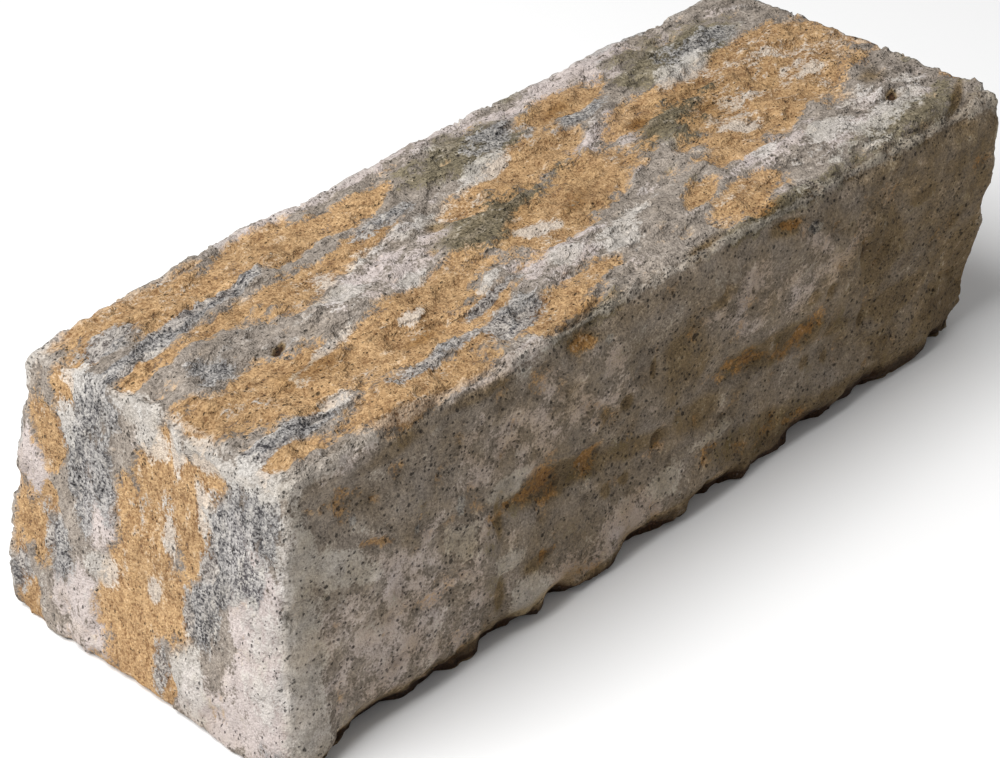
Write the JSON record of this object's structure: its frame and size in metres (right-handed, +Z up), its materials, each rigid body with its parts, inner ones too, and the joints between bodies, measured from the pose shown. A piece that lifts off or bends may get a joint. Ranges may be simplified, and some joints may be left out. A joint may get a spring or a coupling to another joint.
{
  "type": "retaining wall block",
  "caption": "Solid concrete retaining wall block with a rough hewn skin, worn arrises and a flat bed.",
  "frame": {"origin": "middle of the block's outline, on the plane of its flat bed", "axes": "+X along the block towards its square far end, +Y across it towards the back face, +Z up"},
  "size_m": [0.4146, 0.1584, 0.1211],
  "materials": {
    "concrete": "rough tumbled concrete in blended grey, charcoal, buff and orange, with open pores and pale worn arrises"
  },
  "bodies": {
    "root": {"wall_block": "concrete"}
  },
  "joints": []
}
